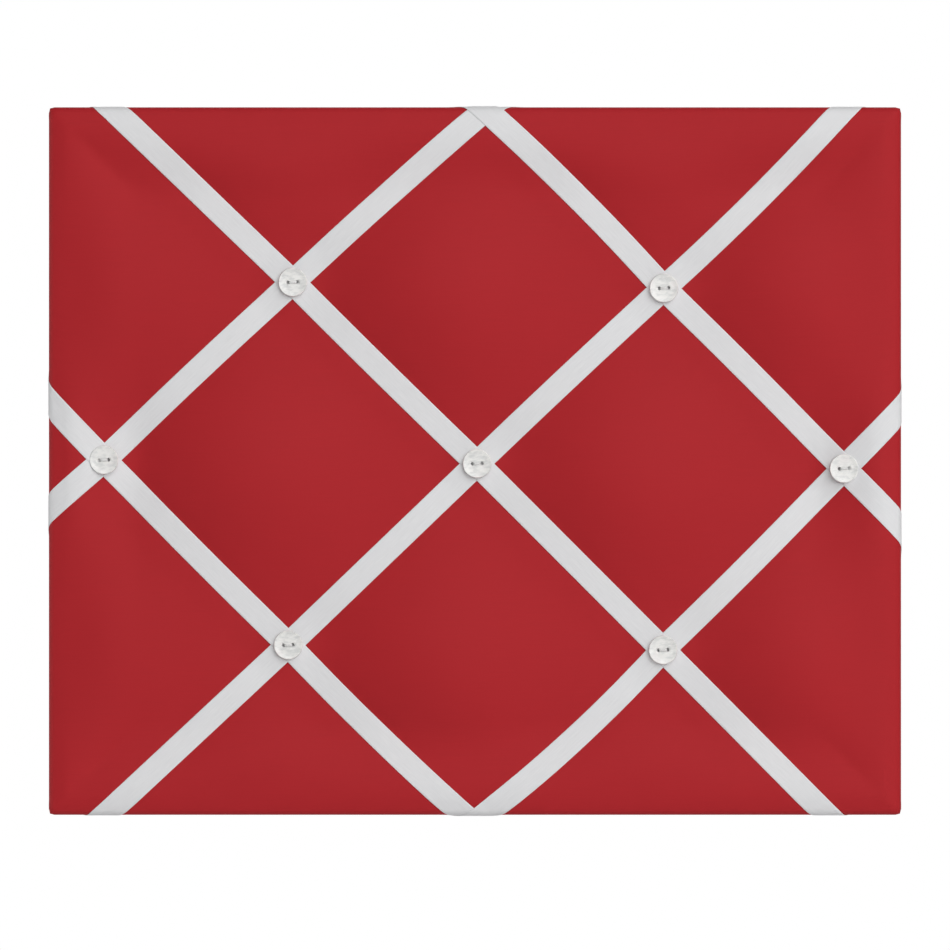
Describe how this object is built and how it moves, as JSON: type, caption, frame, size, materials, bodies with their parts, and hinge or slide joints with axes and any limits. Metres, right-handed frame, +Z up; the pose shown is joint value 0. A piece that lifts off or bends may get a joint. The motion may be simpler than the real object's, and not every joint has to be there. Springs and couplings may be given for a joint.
{
  "type": "french memo board",
  "caption": "Padded red cloth memo board with a diamond lattice of white ribbons tufted down by pearl buttons, for tucking in cards and photos; hangs from swinging D rings on its back.",
  "frame": {"origin": "centre of the board's back, on the outer face of the dust cover", "axes": "+X to the right as seen from the front, +Z up, and the padded front faces -Y, so +Y points to the wall"},
  "size_m": [0.3312, 0.0264, 0.2766],
  "materials": {
    "hardboard": "raw hardboard",
    "wadding": "polyester wadding",
    "red_cotton": "plain woven cotton",
    "white_ribbon": "satin ribbon",
    "pearl": "pearly gloss",
    "white_thread": "sewing thread",
    "black_felt": "thin felt",
    "nickel": "nickel plated"
  },
  "bodies": {
    "board": {"backing_board": "hardboard", "padding": "wadding", "fabric_cover": "red_cotton", "ribbon_fall_left": "white_ribbon", "ribbon_fall_middle": "white_ribbon", "ribbon_fall_right": "white_ribbon", "ribbon_rise_left": "white_ribbon", "ribbon_rise_middle": "white_ribbon", "ribbon_rise_right": "white_ribbon", "ribbon_staple_1": "nickel", "ribbon_staple_2": "nickel", "ribbon_staple_3": "nickel", "ribbon_staple_4": "nickel", "ribbon_staple_5": "nickel", "ribbon_staple_6": "nickel", "ribbon_staple_7": "nickel", "ribbon_staple_8": "nickel", "ribbon_staple_9": "nickel", "ribbon_staple_10": "nickel", "ribbon_staple_11": "nickel", "ribbon_staple_12": "nickel", "button_centre": "pearl", "button_upper_left": "pearl", "button_upper_right": "pearl", "button_lower_left": "pearl", "button_lower_right": "pearl", "button_left": "pearl", "button_right": "pearl", "thread_centre": "white_thread", "thread_upper_left": "white_thread", "thread_upper_right": "white_thread", "thread_lower_left": "white_thread", "thread_lower_right": "white_thread", "thread_left": "white_thread", "thread_right": "white_thread", "dust_cover": "black_felt", "hanger_strap_top": "nickel", "hanger_strap_side": "nickel", "hanger_screw_top": "nickel", "hanger_screw_side": "nickel"},
    "ring_top": {"hanger_ring_top": "nickel"},
    "ring_side": {"hanger_ring_side": "nickel"}
  },
  "joints": [
    {"name": "ring_top_swing", "type": "hinge", "parent": "board", "child": "ring_top", "pos_m": [0, 0.00195, 0.107], "axis": [1, 0, 0], "range_deg": [0, 174]},
    {"name": "ring_side_swing", "type": "hinge", "parent": "board", "child": "ring_side", "pos_m": [0.135, 0.00195, 0], "axis": [0, 0, -1], "range_deg": [0, 174]}
  ]
}
